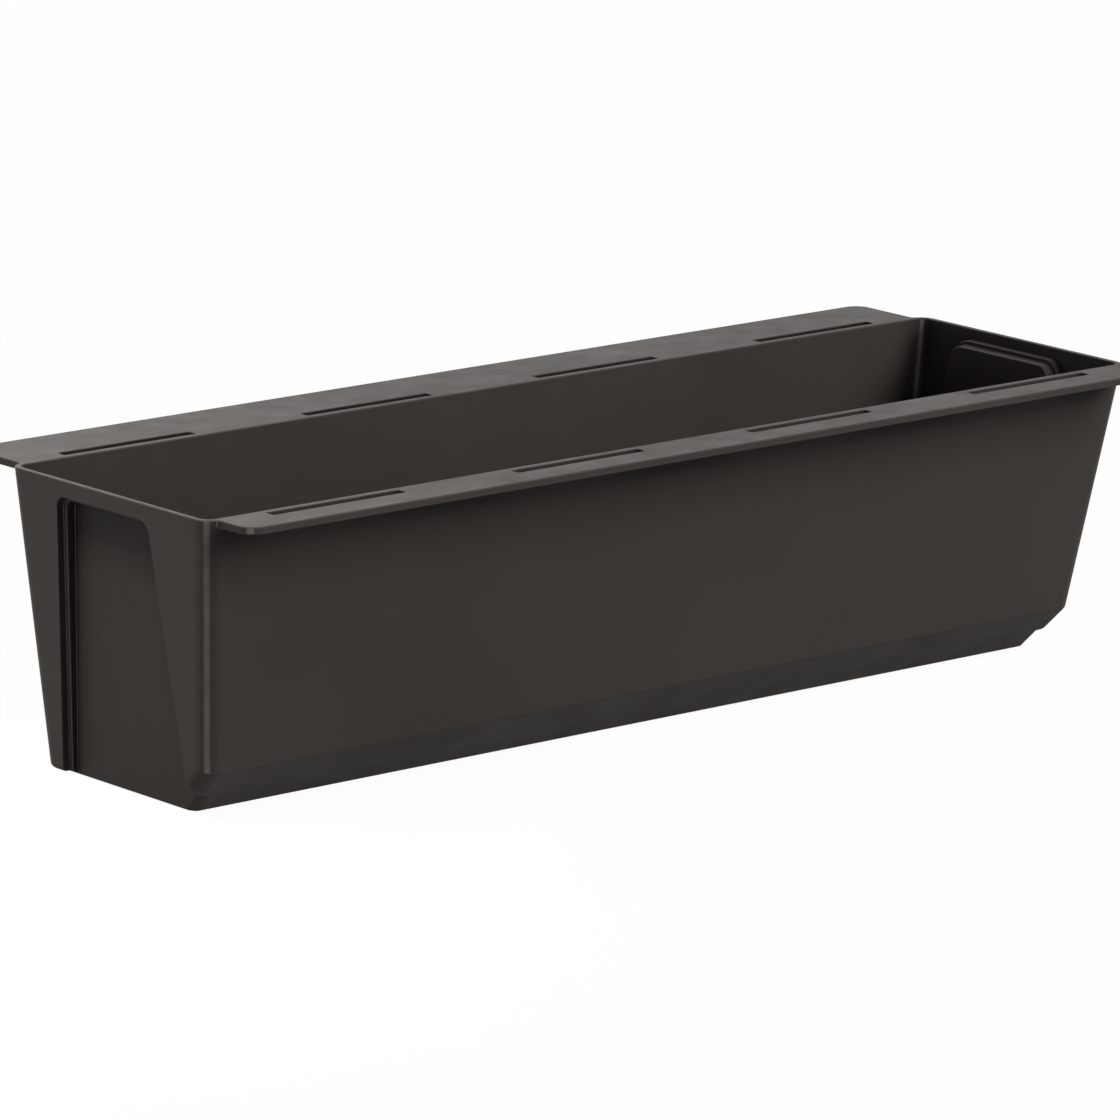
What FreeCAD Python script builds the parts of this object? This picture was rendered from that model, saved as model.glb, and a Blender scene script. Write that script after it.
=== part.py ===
import FreeCAD, Part
import math
import os

# A moulded planter trough that hangs by two flanges, with plugs in its drain holes.
# Millimetres, +Z up, +X along the trough, -Y towards the narrow front flange.
# The origin is on the base, under the middle of the whole outline with its flanges.

# The mouth of the trough over the walls, and how far each wall leans in by the base
rim_length = 380.0
rim_width = 98.0
body_height = 97.2
end_lean = 12.15
front_lean = 14.9
back_lean = 2.2
wall = 2.0
corner_radius = 5.5

# The slanted strip along the foot of the front wall, and the rounded lower edges
chamfer_height = 14.9
chamfer_run = 15.0
crease_radius = 2.0
base_radius = 0.8
inner_edge_radius = 1.5

# The flanges that carry the trough, level with the rim
front_flange_reach = 14.8
rear_flange_reach = 27.0
flange_thickness = 2.4
flange_end_gap = 4.8
flange_corner_radius = 5.5
flange_root_radius = 1.5
rim_edge_radius = 0.4

# The fixing slots in each flange, close beside the wall
slot_count = 4
slot_length = 51.0
slot_width = 4.2
slot_wall_gap = 0.4
slot_corner_radius = 0.6

# The stepped recess in each end wall, which leaves a frame with two legs around it
recess_below_rim = 5.4
recess_front_top = 29.5
recess_front_foot = 22.4
recess_back_top = 23.7
recess_back_foot = 11.6
recess_corner_radius = 4.5
ledge_depth = 2.7
ledge_width = 1.5
panel_depth_top = 6.0
panel_depth_foot = 4.7
panel_corner_radius = 3.0
recess_edge_radius = 0.4

# How far above the base the two legs of each frame end
front_leg_gap = 8.1
front_leg_radius = 4.0
rear_leg_gap = 1.1
rear_leg_radius = 0.6
leg_foot_radius = 2.0

# The raised drain seats in the floor
drain_count = 3
drain_pitch = 110.0
drain_radius = 5.0
seat_radius = 13.0
seat_height = 4.0
seat_edge_radius = 1.0

# The plugs that close the drain holes from inside
plug_clearance = 0.05
plug_head_radius = 8.5
plug_head_thickness = 1.8
plug_skirt_wall = 1.2
plug_base_gap = 1.0
plug_edge_radius = 0.5
tab_length = 11.0
tab_thickness = 2.4
tab_height = 5.0
tab_corner_radius = 2.0

# How far a cutting shape runs past what it cuts, and what counts as the same place
overrun = 5.0
SAME = 0.00001

CENTRE = FreeCAD.Vector(0, 0, 0)
AXIS_X = FreeCAD.Vector(1, 0, 0)
AXIS_Y = FreeCAD.Vector(0, 1, 0)
AXIS_Z = FreeCAD.Vector(0, 0, 1)

# Places that follow from the sizes above
rim_middle_y = (front_flange_reach - rear_flange_reach) / 2
front_rim_y = rim_middle_y - rim_width / 2
back_rim_y = rim_middle_y + rim_width / 2
slot_pitch = rim_length / slot_count
flange_half = rim_length / 2 - flange_end_gap
flange_underside = body_height - flange_thickness
front_foot_top = front_leg_gap - ledge_width
recess_top = body_height - recess_below_rim
seat_top = wall + seat_height
head_top = seat_top + plug_head_thickness
tab_top = head_top + tab_height


def end_x(z):
    """The outer face of the right end wall at one height."""
    return rim_length / 2 - end_lean * (body_height - z) / body_height


def ledge_x(z):
    """The ledge halfway into the right end's recess, at one height."""
    return end_x(z) - ledge_depth


def panel_x(z):
    """The panel at the bottom of the right end's recess, at one height."""
    gain = panel_depth_top - panel_depth_foot
    return end_x(z) - panel_depth_foot - gain * z / recess_top


def front_y(z):
    """The outer face of the front wall at one height."""
    return front_rim_y + front_lean * (body_height - z) / body_height


def back_y(z):
    """The outer face of the back wall at one height."""
    return back_rim_y - back_lean * (body_height - z) / body_height


def chamfer_y(z):
    """The slanted strip at the foot of the front wall, at one height."""
    return front_y(chamfer_height) + chamfer_run * (chamfer_height - z) / chamfer_height


drain_y = (chamfer_y(0) + back_y(0)) / 2


def row(count, pitch):
    """Evenly spaced places along the trough, centred on its middle."""
    return [(place - (count - 1) / 2) * pitch for place in range(count)]


def grown(points, distance, axis):
    """An outline, counter-clockwise about the axis, with each side moved out."""
    moved = []
    for place, here in enumerate(points):
        before = points[place - 1]
        after = points[(place + 1) % len(points)]
        first = (here - before).normalize().cross(axis)
        second = (after - here).normalize().cross(axis)
        moved.append(here + (first + second) * (distance / (1 + first.dot(second))))
    return moved


def prism(points, axis, start, end):
    """A closed outline pushed along an axis from one place to another."""
    face = Part.Face(Part.makePolygon(points + points[:1]))
    face.translate(axis * start)
    return face.extrude(axis * (end - start))


def both_ends(right_shape):
    """A shape at the right end, and the same shape mirrored to the left end."""
    return [right_shape, right_shape.mirror(CENTRE, AXIS_X)]


def rise(edge):
    """How far apart in height an edge's two ends are."""
    heights = [vertex.Point.z for vertex in edge.Vertexes]
    return max(heights) - min(heights)


def rounded(shape, radius, wanted):
    """The shape with the edges that a test picks rounded."""
    return shape.makeFillet(radius, [edge for edge in shape.Edges if wanted(edge)])


def cross_outline(foot, top):
    """The trough seen along its length: a sloped front, a slanted foot, a steep back."""
    corners = [
        (back_y(foot), foot),
        (back_y(top), top),
        (front_y(top), top),
        (front_y(chamfer_height), chamfer_height),
        (chamfer_y(foot), foot),
    ]
    return [FreeCAD.Vector(0, y, z) for y, z in corners]


def long_outline(face_x, foot, top):
    """The trough seen from the front, between two end faces that lean in at the base."""
    corners = [(face_x(top), top), (face_x(foot), foot), (-face_x(foot), foot), (-face_x(top), top)]
    return [FreeCAD.Vector(x, 0, z) for x, z in corners]


def plain_block(cross, side):
    """The block inside two outlines, every edge sharp."""
    reach = rim_length / 2 + overrun
    block = prism(cross, AXIS_X, -reach, reach)
    return block.common(prism(side, AXIS_Y, -reach, reach))


def softened(block, cross, corner, crease, foot):
    """A plain block with its upright corners, front crease and foot rounded, in turn."""
    block = rounded(block, corner, lambda edge: rise(edge) > SAME)
    for height, radius in ((cross[3].z, crease), (cross[0].z, foot)):
        level_edges = [e for e in block.Edges if abs(e.CenterOfMass.z - height) < SAME]
        block = block.makeFillet(radius, level_edges)
    return block


def recess_outline(spread, inset):
    """The recess seen along the trough, and the space below both legs beside it."""

    def side_y(top_y, foot_y, z):
        return foot_y + (top_y - foot_y) * z / recess_top

    front_top_y = front_rim_y + recess_front_top
    back_top_y = back_rim_y - recess_back_top
    back_gap = rear_leg_gap + inset
    corners = [
        (back_rim_y + overrun, -overrun),
        (back_rim_y + overrun, back_gap),
        (side_y(back_top_y, back_rim_y - recess_back_foot, back_gap), back_gap),
        (back_top_y, recess_top),
        (front_top_y, recess_top),
        (side_y(front_top_y, front_rim_y + recess_front_foot, front_leg_gap), front_leg_gap),
        (front_rim_y - overrun, front_leg_gap),
        (front_rim_y - overrun, -overrun),
    ]
    return grown([FreeCAD.Vector(0, y, z) for y, z in corners], spread - inset, AXIS_X)


def recess_step(spread, inset, face_x, set_in):
    """One step of the right recess, from its sloped face out past the end wall."""
    outline = recess_outline(spread, inset)
    far = rim_length / 2 + overrun
    high = body_height + overrun
    step = prism(outline, AXIS_X, 0, far)
    roundings = [
        (outline[3], recess_corner_radius + spread - inset),
        (outline[4], recess_corner_radius + spread - inset),
        (outline[5], front_leg_radius - spread + inset),
        (outline[2], rear_leg_radius),
    ]
    for corner, radius in roundings:
        step = rounded(step, radius, lambda edge: lies_along_x(edge, corner))
    side = [
        FreeCAD.Vector(face_x(-overrun) - set_in, 0, -overrun),
        FreeCAD.Vector(face_x(high) - set_in, 0, high),
        FreeCAD.Vector(far, 0, high),
        FreeCAD.Vector(far, 0, -overrun),
    ]
    return step.common(prism(side, AXIS_Y, -rim_length, rim_length))


def lies_along_x(edge, corner):
    """Whether an edge runs along the trough through a corner of an outline."""
    middle = edge.CenterOfMass
    away = abs(middle.y - corner.y) + abs(middle.z - corner.z)
    return away < SAME and edge.BoundBox.YLength + edge.BoundBox.ZLength < SAME


def recess_block(spread, set_in):
    """What the right recess takes away, ledge and panel, with softened edges."""
    block = recess_step(spread, 0, ledge_x, set_in)
    block = block.fuse(recess_step(spread, ledge_width, panel_x, set_in)).removeSplitter()

    def lies_on(edge, face_x):
        ends = [edge.valueAt(edge.FirstParameter), edge.valueAt(edge.LastParameter)]
        return all(abs(end.x - face_x(end.z) + set_in) < SAME for end in ends)

    def on_step(edge):
        inside = front_rim_y < edge.CenterOfMass.y < back_rim_y and edge.CenterOfMass.z > 0
        return inside and (lies_on(edge, ledge_x) or lies_on(edge, panel_x))

    return rounded(block, recess_edge_radius, on_step)


def end_frames():
    """The block between the outer end faces, with the recess in each, down to the legs."""
    cross = cross_outline(rear_leg_gap, body_height)
    sharp = plain_block(cross, long_outline(end_x, rear_leg_gap, body_height))
    block = sharp
    for recess in both_ends(recess_block(0, 0)):
        block = block.cut(recess)

    def on_recess_mouth(edge):
        ends = [vertex.Point for vertex in edge.Vertexes]
        on_wall = all(abs(abs(end.x) - end_x(end.z)) < SAME for end in ends)
        middle = edge.valueAt((edge.FirstParameter + edge.LastParameter) / 2)
        behind = middle - AXIS_X * math.copysign(wall, middle.x)
        return on_wall and sharp.isInside(behind, SAME, False)

    block = rounded(block, recess_edge_radius, on_recess_mouth)
    block = block.common(softened(sharp, cross, corner_radius, crease_radius, leg_foot_radius))
    corner = FreeCAD.Vector(-rim_length, rim_middle_y - rim_length, 0)
    return block.cut(Part.makeBox(2 * rim_length, rim_length, front_foot_top, corner))


def body_foot():
    """The lowest part of the body between the frames, up past the front legs' ends."""
    cross = cross_outline(0, body_height)
    body = plain_block(cross, long_outline(panel_x, 0, body_height))
    body = softened(body, cross, panel_corner_radius, crease_radius, base_radius)
    corner = FreeCAD.Vector(-rim_length, -rim_length, 0)
    slab = Part.makeBox(2 * rim_length, 2 * rim_length, front_leg_gap + wall, corner)
    return body.common(slab)


def trough_outside():
    """The outside of the trough below its flanges: a body with a frame on each end."""
    return end_frames().fuse(body_foot()).removeSplitter()


def trough_hollow():
    """The space inside the trough, one wall in from the outside all round."""
    cross = grown(cross_outline(0, body_height + overrun), -wall, AXIS_X)
    side = grown(long_outline(end_x, 0, body_height + overrun), -wall, AXIS_Y)
    corner = corner_radius - wall
    hollow = plain_block(cross, side)
    hollow = softened(hollow, cross, corner, inner_edge_radius, inner_edge_radius)
    for bulge in both_ends(recess_block(wall, wall)):
        hollow = hollow.cut(bulge)
    return hollow


def flange(edge_y, reach):
    """One flange, from inside the wall out by its reach along Y, with rounded corners."""
    outward = math.copysign(1, reach)
    start_y = edge_y - outward * wall / 2
    width = abs(edge_y + reach - start_y)
    corner = FreeCAD.Vector(-flange_half, min(start_y, edge_y + reach), flange_underside)
    plate = Part.makeBox(2 * flange_half, width, flange_thickness, corner)

    def at_free_corner(edge):
        return rise(edge) > SAME and abs(edge.CenterOfMass.y - edge_y - reach) < SAME

    def under_free_side(edge):
        middle = edge.CenterOfMass
        return abs(middle.z - flange_underside) < SAME and abs(middle.y - start_y) > SAME

    plate = rounded(plate, flange_corner_radius, at_free_corner)
    return rounded(plate, rim_edge_radius, under_free_side)


def slots():
    """The slots through both flanges, beside the wall."""
    start_z = flange_underside - overrun
    depth = flange_thickness + 2 * overrun
    cuts = []
    for start_y in (front_rim_y - slot_wall_gap - slot_width, back_rim_y + slot_wall_gap):
        for x in row(slot_count, slot_pitch):
            corner = FreeCAD.Vector(x - slot_length / 2, start_y, start_z)
            cut = Part.makeBox(slot_length, slot_width, depth, corner)
            cuts.append(rounded(cut, slot_corner_radius, lambda edge: rise(edge) > SAME))
    return cuts


def drain_seat(x):
    """One raised seat in the floor, and what its pocket and drain hole take away."""
    place = FreeCAD.Vector(x, drain_y, 0)
    below = place - AXIS_Z * overrun
    seat = Part.makeCylinder(seat_radius, seat_top, place)

    def at_top(edge):
        return abs(edge.CenterOfMass.z - seat_top) < SAME

    seat = rounded(seat, seat_edge_radius, at_top)
    pocket = Part.makeCylinder(seat_radius - wall, overrun + seat_height, below)
    hole = Part.makeCylinder(drain_radius, overrun + seat_top + overrun, below)
    return seat, pocket.fuse(hole)


def trough():
    """The whole moulding: walls, floor, end recesses, flanges, slots and drain seats."""
    shell = trough_outside()
    shell = shell.fuse(flange(front_rim_y, -front_flange_reach))
    shell = shell.fuse(flange(back_rim_y, rear_flange_reach)).removeSplitter()

    def at_flange_root(edge):
        middle = edge.CenterOfMass
        upright = rim_edge_radius < rise(edge) < flange_thickness + SAME
        at_end = abs(abs(middle.x) - flange_half) < SAME
        beside_wall = min(abs(middle.y - front_rim_y), abs(middle.y - back_rim_y)) < wall
        return upright and at_end and beside_wall

    shell = rounded(shell, flange_root_radius, at_flange_root).cut(trough_hollow())
    shell = rounded(shell, rim_edge_radius, lambda edge: edge.BoundBox.ZMin > body_height - SAME)
    for slot in slots():
        shell = shell.cut(slot)
    for x in row(drain_count, drain_pitch):
        seat, opening = drain_seat(x)
        shell = shell.fuse(seat).cut(opening)
    return shell.removeSplitter()


def drain_plug(x):
    """One plug: a flat head on the seat, a hollow skirt in the hole, and a pull tab."""
    place = FreeCAD.Vector(x, drain_y, seat_top)
    foot = FreeCAD.Vector(x, drain_y, plug_base_gap)
    skirt_radius = drain_radius - plug_clearance
    skirt_length = seat_top - plug_base_gap
    tab_start = FreeCAD.Vector(x - tab_length / 2, drain_y - tab_thickness / 2, seat_top)

    def at_head_top(edge):
        return abs(edge.CenterOfMass.z - head_top) < SAME

    def at_tab_corner(edge):
        return edge.BoundBox.YLength > SAME and abs(edge.CenterOfMass.z - tab_top) < SAME

    head = Part.makeCylinder(plug_head_radius, plug_head_thickness, place)
    head = rounded(head, plug_edge_radius, at_head_top)
    skirt = Part.makeCylinder(skirt_radius, skirt_length, foot)
    lower_edges = [edge for edge in skirt.Edges if edge.BoundBox.ZMax < foot.z + SAME]
    skirt = skirt.makeChamfer(plug_edge_radius, lower_edges)
    bore = Part.makeCylinder(skirt_radius - plug_skirt_wall, skirt_length, foot)
    tab = Part.makeBox(tab_length, tab_thickness, tab_top - seat_top, tab_start)
    tab = rounded(tab, tab_corner_radius, at_tab_corner)
    return head.fuse(skirt).cut(bore).fuse(tab).removeSplitter()


pieces = {"trough": trough()}
for number, x in enumerate(row(drain_count, drain_pitch), start=1):
    pieces["drain_plug_" + str(number)] = drain_plug(x)

os.makedirs("parts", exist_ok=True)
for name, shape in pieces.items():
    shape.exportStep("parts/" + name + ".step")
    print(name, "solids", len(shape.Solids), "volume", round(shape.Volume))
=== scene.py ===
import math

import bpy
from mathutils import Matrix, Vector

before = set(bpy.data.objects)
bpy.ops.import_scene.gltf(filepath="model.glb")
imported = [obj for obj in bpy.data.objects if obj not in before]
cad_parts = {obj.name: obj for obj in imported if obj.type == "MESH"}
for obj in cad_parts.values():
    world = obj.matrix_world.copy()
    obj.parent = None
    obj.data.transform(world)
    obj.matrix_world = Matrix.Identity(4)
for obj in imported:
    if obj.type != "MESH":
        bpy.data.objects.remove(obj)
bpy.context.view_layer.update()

# The trough: one injection moulding of dark grey-brown polypropylene, with walls, floor and
# both flanges in one. The mould's fine spark-eroded finish leaves it matt with a soft sheen.
# Painted highlight lightens its corners and worn edges; painted shade darkens inner corners and
# slots.
TROUGH_HEX = "#45403c"
TROUGH_DARK_HEX = "#3f3a36"
# A lighter colour for worn edges and painted highlights, and a near-black one for painted shade.
TROUGH_WORN_AND_HIGHLIGHT_HEX = "#7b7570"
TROUGH_PAINTED_SHADE_HEX = "#1b1815"
TROUGH_ROUGHNESS = 0.47

# What the moulded plastics share. The IOR is polypropylene's, and polyethylene's is close.
PLASTIC_IOR = 1.49
SHEEN = 0.1
GRAIN_MM = 0.35
GRAIN_DEPTH_MM = 0.05
GRAIN_STRENGTH = 0.12
SWELL_DEPTH_MM = 0.1
SWELL_STRENGTH = 0.5
MOTTLE_MM = 11.0
FLOW_MM = 45.0
DRIFT_MM = 140.0
MOTTLE_GLOSS = 0.05
FLOW_GLOSS = 0.03
WEAR_AND_HIGHLIGHT_GLOSS = 0.15
NOISE_SPAN = (0.3, 0.7)

# Where painted highlight, wear and painted shade go. The product of a normal's X and Y is one
# half on a diagonal.
EDGE_MM = 0.6
EDGE_DEPTH = (0.90, 0.55)
EDGE_WEAR_AND_HIGHLIGHT = 0.7
CORNER_DIAGONAL = (0.43, 0.49)
UPWARD = (0.2, 0.7)
PATCH_SPAN = (0.25, 0.6)
LEAST_PATCH = 0.55
CREVICE_MM = 12.0
CREVICE_DEPTH = (1.0, 0.5)
CREVICE_PAINTED_SHADE = 0.85
DEPTH_SAMPLES = 8

# The frames on the ends slide along what the trough hangs in, and painted light makes them
# lighter.
# Painted shade darkens the panels sunk into them. The ends lean out from this X by this much per
# height.
END_AT_BASE_M = 0.17785
END_LEAN = 0.125
END_OUTWARD_M = (0.155, 0.165)
PANEL_DEPTH_M = (0.0035, 0.0045)
FRAME_DEPTH_M = (0.0005, 0.0015)
PANEL_PAINTED_SHADE = 0.12
FRAME_PAINTED_LIGHT = 0.06


def linear(hex_colour):
    """An sRGB hex colour as linear red, green, blue and alpha."""
    parts = [int(hex_colour[place:place + 2], 16) / 255 for place in (1, 3, 5)]
    return [p / 12.92 if p <= 0.04045 else ((p + 0.055) / 1.055) ** 2.4 for p in parts] + [1.0]


def node(tree, kind, settings=None):
    """Adds a node with its properties, its input values and the sockets that feed its inputs."""
    made = tree.nodes.new(kind)
    for name, value in (settings or {}).items():
        if not isinstance(name, int) and name not in made.inputs:
            setattr(made, name, value)
        elif isinstance(value, bpy.types.NodeSocket):
            tree.links.new(value, made.inputs[name])
        else:
            made.inputs[name].default_value = value
    return made


def maths(tree, operation, first, second):
    """The result of one sum of two values or sockets."""
    return node(
        tree, "ShaderNodeMath", {"operation": operation, 0: first, 1: second}
    ).outputs["Value"]


def spread(tree, value, span, result):
    """A value's span, stretched or squeezed to the two ends of the result."""
    return node(tree, "ShaderNodeMapRange", {
        "Value": value, "From Min": span[0], "From Max": span[1],
        "To Min": result[0], "To Max": result[1],
    }).outputs["Result"]


def cloud(tree, place, size_mm, detail):
    """Soft noise with lumps of about the given size."""
    return node(tree, "ShaderNodeTexNoise", {
        "Vector": place, "Scale": 1000 / size_mm, "Detail": detail,
    }).outputs["Fac"]


def blend(tree, share, first, second):
    """One colour over another by a share from zero to one."""
    return node(tree, "ShaderNodeMix", {
        "data_type": "RGBA", "Factor": share, 6: first, 7: second,
    }).outputs[2]


def empty_material(name):
    """A material with only its output node."""
    material = bpy.data.materials.new(name)
    material.use_nodes = True
    material.node_tree.nodes.clear()
    return material, material.node_tree, material.node_tree.nodes.new("ShaderNodeOutputMaterial")


def openness(tree, inside, reach_mm):
    """One where nothing of the piece is near, over the surface or else inside the plastic."""
    return node(tree, "ShaderNodeAmbientOcclusion", {
        "samples": DEPTH_SAMPLES, "inside": inside, "only_local": True,
        "Distance": reach_mm / 1000,
    }).outputs["AO"]


def rubbed_places(tree, place):
    """One along upright rounded corners as a painted highlight, less on outside edges as wear
    and painted highlight, and zero on flat faces.
    """
    facing = node(tree, "ShaderNodeSeparateXYZ", {"Vector": place["Normal"]}).outputs
    diagonal = maths(tree, "MULTIPLY", facing["X"], facing["Y"])
    corner_highlight = spread(tree, maths(tree, "ABSOLUTE", diagonal, 0.0), CORNER_DIAGONAL, (0.0, 1.0))
    upright = spread(tree, facing["Z"], UPWARD, (1.0, 0.0))
    lightened = spread(tree, openness(tree, True, EDGE_MM), EDGE_DEPTH, (0.0, EDGE_WEAR_AND_HIGHLIGHT))
    return maths(tree, "MAXIMUM", corner_highlight, maths(tree, "MULTIPLY", upright, lightened))


def dusty_places(tree):
    """Painted shade: rises in inner corners and slots, where shade falls, and is zero in the
    open.
    """
    return spread(tree, openness(tree, False, CREVICE_MM), CREVICE_DEPTH, (0.0, CREVICE_PAINTED_SHADE))


def end_faces(tree, place):
    """One on the ends' sunk panels, one on their narrow ledges and one on the frames."""
    where = node(tree, "ShaderNodeSeparateXYZ", {"Vector": place["Object"]}).outputs
    facing = node(tree, "ShaderNodeSeparateXYZ", {"Vector": place["Normal"]}).outputs
    outward = spread(
        tree, maths(tree, "MULTIPLY", where["X"], facing["X"]), END_OUTWARD_M, (0.0, 1.0)
    )
    end = maths(tree, "ADD", END_AT_BASE_M, maths(tree, "MULTIPLY", where["Z"], END_LEAN))
    depth = maths(tree, "SUBTRACT", end, maths(tree, "ABSOLUTE", where["X"], 0.0))
    panel = maths(tree, "MULTIPLY", outward, spread(tree, depth, PANEL_DEPTH_M, (0.0, 1.0)))
    frame_face = maths(
        tree, "MULTIPLY", outward, spread(tree, depth, FRAME_DEPTH_M, (1.0, 0.0))
    )
    ledge = maths(tree, "SUBTRACT", outward, maths(tree, "ADD", panel, frame_face))
    return panel, ledge, frame_face


def moulded_plastic(name, light_hex, dark_hex, lighter_hex, shade_hex, roughness):
    """Injection-moulded plastic: fine matt grain, soft sheen, slight drift, rubbed edges,
    painted highlight and painted shade.
    """
    material, tree, out = empty_material(name)
    place = node(tree, "ShaderNodeTexCoord").outputs
    drift = cloud(tree, place["Object"], DRIFT_MM, 2.0)
    flow = cloud(tree, place["Object"], FLOW_MM, 3.0)
    mottle = cloud(tree, place["Object"], MOTTLE_MM, 3.0)
    grain = cloud(tree, place["Object"], GRAIN_MM, 1.0)
    # A painted highlight on upright corners, and wear with a painted highlight on edges, made
    # patchy by the mottle.
    wear_and_highlight = maths(
        tree, "MULTIPLY", rubbed_places(tree, place),
        spread(tree, mottle, PATCH_SPAN, (LEAST_PATCH, 1.0)),
    )
    new_colour = blend(
        tree, spread(tree, drift, NOISE_SPAN, (0.0, 1.0)), linear(dark_hex), linear(light_hex)
    )
    panel, ledge, frame_face = end_faces(tree, place)
    # Painted shade darkens inner corners, slots and the sunk end panels; painted light lightens
    # the end frames.
    crevice_shade = maths(tree, "MULTIPLY", dusty_places(tree), maths(tree, "SUBTRACT", 1.0, ledge))
    painted_shade = maths(tree, "MAXIMUM", crevice_shade, maths(tree, "MULTIPLY", panel, PANEL_PAINTED_SHADE))
    shaded_colour = blend(tree, painted_shade, new_colour, linear(shade_hex))
    lightened = maths(tree, "MAXIMUM", wear_and_highlight, maths(tree, "MULTIPLY", frame_face, FRAME_PAINTED_LIGHT))
    gloss = maths(
        tree, "ADD",
        spread(tree, flow, NOISE_SPAN, (roughness - FLOW_GLOSS, roughness + FLOW_GLOSS)),
        spread(tree, mottle, NOISE_SPAN, (-MOTTLE_GLOSS, MOTTLE_GLOSS)),
    )
    swell = node(tree, "ShaderNodeBump", {
        "Strength": SWELL_STRENGTH, "Distance": SWELL_DEPTH_MM / 1000, "Height": flow,
    })
    bump = node(tree, "ShaderNodeBump", {
        "Strength": GRAIN_STRENGTH, "Distance": GRAIN_DEPTH_MM / 1000, "Height": grain,
        "Normal": swell.outputs["Normal"],
    })
    surface = node(tree, "ShaderNodeBsdfPrincipled", {
        "IOR": PLASTIC_IOR, "Specular IOR Level": SHEEN,
        "Base Color": blend(tree, lightened, shaded_colour, linear(lighter_hex)),
        "Roughness": maths(
            tree, "SUBTRACT", gloss, maths(tree, "MULTIPLY", wear_and_highlight, WEAR_AND_HIGHLIGHT_GLOSS)
        ),
        "Normal": bump.outputs["Normal"],
    })
    tree.links.new(surface.outputs["BSDF"], out.inputs["Surface"])
    return material


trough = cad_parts["trough"]
trough_plastic = moulded_plastic(
    "moulded_polypropylene_grey_brown",
    TROUGH_HEX, TROUGH_DARK_HEX, TROUGH_WORN_AND_HIGHLIGHT_HEX, TROUGH_PAINTED_SHADE_HEX, TROUGH_ROUGHNESS,
)
for slot in trough.material_slots:
    slot.material = trough_plastic

# The drain plugs: three small push-in stoppers of low-density polyethylene, softer and darker
# than the trough, with a flat head that seals on the raised seat and a tab to pull them by.
PLUG_HEX = "#2b2a29"
PLUG_DARK_HEX = "#242322"
# A lighter colour for worn edges and painted highlights, and a near-black one for painted shade.
PLUG_WORN_AND_HIGHLIGHT_HEX = "#454341"
PLUG_PAINTED_SHADE_HEX = "#161514"
PLUG_ROUGHNESS = 0.5

plug_plastic = moulded_plastic(
    "moulded_polyethylene_black",
    PLUG_HEX, PLUG_DARK_HEX, PLUG_WORN_AND_HIGHLIGHT_HEX, PLUG_PAINTED_SHADE_HEX, PLUG_ROUGHNESS,
)
for number in (1, 2, 3):
    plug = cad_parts["drain_plug_" + str(number)]
    for slot in plug.material_slots:
        slot.material = plug_plastic

# The floor: a wide sheet of white paper that the trough stands on. It bounces some light up the
# walls and takes the trough's soft shadow, and from below it can't be seen.
FLOOR_HALF_M = 6.0
FLOOR_DROP_M = 0.0002
PAPER_HEX = "#ffffff"
BOUNCE_HEX = "#969696"
FLOOR_LIFT = 0.95
FLOOR_SHEEN_LIFT = 0.3

floor_mesh = bpy.data.meshes.new("paper_floor")
floor_mesh.from_pydata(
    [
        (x * FLOOR_HALF_M, y * FLOOR_HALF_M, -FLOOR_DROP_M)
        for x, y in ((-1, -1), (1, -1), (1, 1), (-1, 1))
    ],
    [], [(0, 1, 2, 3)],
)
floor = bpy.data.objects.new("paper_floor", floor_mesh)
bpy.context.scene.collection.objects.link(floor)


def white_rays(tree):
    """One for rays of the camera or through glass, and one for rays of a surface's sheen."""
    rays = node(tree, "ShaderNodeLightPath").outputs
    direct = maths(tree, "MAXIMUM", rays["Is Camera Ray"], rays["Is Transmission Ray"])
    return direct, rays["Is Glossy Ray"]


floor_material, tree, out = empty_material("white_paper")
white, sheen = white_rays(tree)
lift = maths(
    tree, "MAXIMUM", maths(tree, "MULTIPLY", white, FLOOR_LIFT),
    maths(tree, "MULTIPLY", sheen, FLOOR_SHEEN_LIFT),
)
paper = node(tree, "ShaderNodeBsdfDiffuse", {
    "Color": blend(tree, white, linear(BOUNCE_HEX), linear(PAPER_HEX)),
})
glow = node(tree, "ShaderNodeEmission", {"Color": (1, 1, 1, 1), "Strength": 1.0})
lifted = node(tree, "ShaderNodeMixShader", {0: lift, 1: paper.outputs[0], 2: glow.outputs[0]})
sided = node(tree, "ShaderNodeMixShader", {
    0: node(tree, "ShaderNodeNewGeometry").outputs["Backfacing"], 1: lifted.outputs[0],
    2: node(tree, "ShaderNodeBsdfTransparent").outputs[0],
})
tree.links.new(sided.outputs[0], out.inputs["Surface"])
floor_mesh.materials.append(floor_material)

# The studio: a white surround that the camera and the sheen see at full white, and that lights
# the trough more weakly. A large soft lamp in front and to the right gives the main light.
# Smaller ones light the left end, the tops of the flanges and the back.
ROOM_LIGHT = 0.06
MIDDLE = (0, 0, 0.05)

world = bpy.data.worlds.new("white_studio")
bpy.context.scene.world = world
world.use_nodes = True
tree = world.node_tree
tree.nodes.clear()
out = tree.nodes.new("ShaderNodeOutputWorld")
white, sheen = white_rays(tree)
shown = maths(tree, "MAXIMUM", white, sheen)
backdrop = node(tree, "ShaderNodeBackground", {
    "Color": (1, 1, 1, 1), "Strength": spread(tree, shown, (0.0, 1.0), (ROOM_LIGHT, 1.0)),
})
tree.links.new(backdrop.outputs[0], out.inputs["Surface"])


def softbox(name, place, target, width, height, power, beam=180):
    """A rectangular lamp in metres and watts. A grid narrows its beam, in degrees."""
    lamp = bpy.data.lights.new(name, "AREA")
    lamp.shape = "RECTANGLE"
    lamp.size, lamp.size_y = width, height
    lamp.energy = power
    lamp.spread = math.radians(beam)
    holder = bpy.data.objects.new(name, lamp)
    bpy.context.scene.collection.objects.link(holder)
    holder.location = place
    holder.rotation_mode = "QUATERNION"
    holder.rotation_quaternion = (Vector(target) - Vector(place)).to_track_quat("-Z", "Y")


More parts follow.
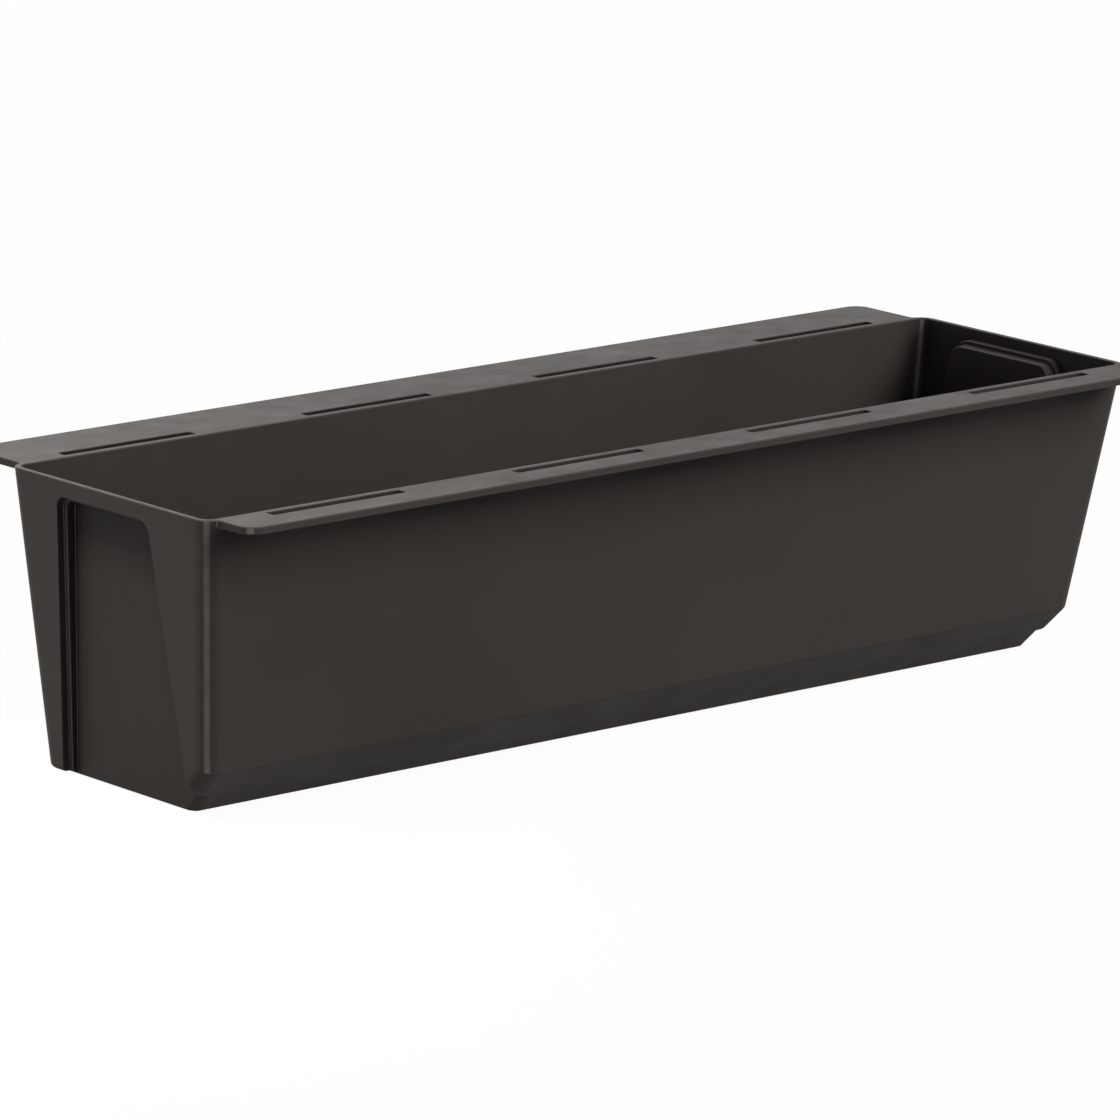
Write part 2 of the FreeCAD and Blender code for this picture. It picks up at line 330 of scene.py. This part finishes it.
def around(azimuth, elevation, distance):
    """A place around the trough. Azimuth 0 is in front of it, 90 on its right."""
    a, e = math.radians(azimuth), math.radians(elevation)
    away = Vector((math.sin(a) * math.cos(e), -math.cos(a) * math.cos(e), math.sin(e)))
    return away * distance + Vector(MIDDLE)


softbox("right_front_softbox", around(31, 36, 4.0), MIDDLE, 2.4, 2.4, 148)
softbox("left_top_softbox", (-0.48, 0.05, 0.66), (-0.33, 0.03, 0.0), 0.20, 0.16, 0.64, 50)
softbox("rear_right_lamp", around(135, 12, 2.2), MIDDLE, 0.9, 0.5, 0.3)
softbox("rear_softbox", around(165, 38, 2.2), MIDDLE, 1.2, 1.2, 13)
softbox("rear_low_strip", around(172, 0, 2.2), MIDDLE, 1.2, 0.08, 16)
softbox("camera_side_lamp", around(-42, 10, 2.2), MIDDLE, 0.25, 0.25, 1.8)

# The camera: a long lens, turned to the left of the trough's front and a little above the rim.
HEADING = math.radians(40.533)
DIP = math.radians(13.210)
ROLL = math.radians(0.734)
DISTANCE_M = 2.5256
AIM_RIGHT_M = -0.00723
AIM_UP_M = 0.04706
MOUTH_MIDDLE_Y_M = -0.0061
AIM_Z_M = 0.0012
SENSOR_MM = 36.0
LENS_MM = 255.74
SIGHT_M = (0.1, 50)

forward = Vector((
    math.sin(HEADING) * math.cos(DIP), math.cos(HEADING) * math.cos(DIP), -math.sin(DIP)
))
level_right = Vector((math.cos(HEADING), -math.sin(HEADING), 0))
level_up = level_right.cross(forward)
right = level_right * math.cos(ROLL) + level_up * math.sin(ROLL)
up = level_up * math.cos(ROLL) - level_right * math.sin(ROLL)
aim = Vector((0, MOUTH_MIDDLE_Y_M, AIM_Z_M)) + right * AIM_RIGHT_M + up * AIM_UP_M
turn = Matrix((right, up, -forward)).transposed().to_4x4()

camera_data = bpy.data.cameras.new("catalogue_camera")
camera_data.sensor_fit = "HORIZONTAL"
camera_data.sensor_width = SENSOR_MM
camera_data.lens = LENS_MM
camera_data.clip_start, camera_data.clip_end = SIGHT_M
camera = bpy.data.objects.new("catalogue_camera", camera_data)
bpy.context.scene.collection.objects.link(camera)
camera.matrix_world = Matrix.Translation(aim - forward * DISTANCE_M) @ turn
bpy.context.scene.camera = camera

bpy.context.scene.view_settings.view_transform = "Standard"
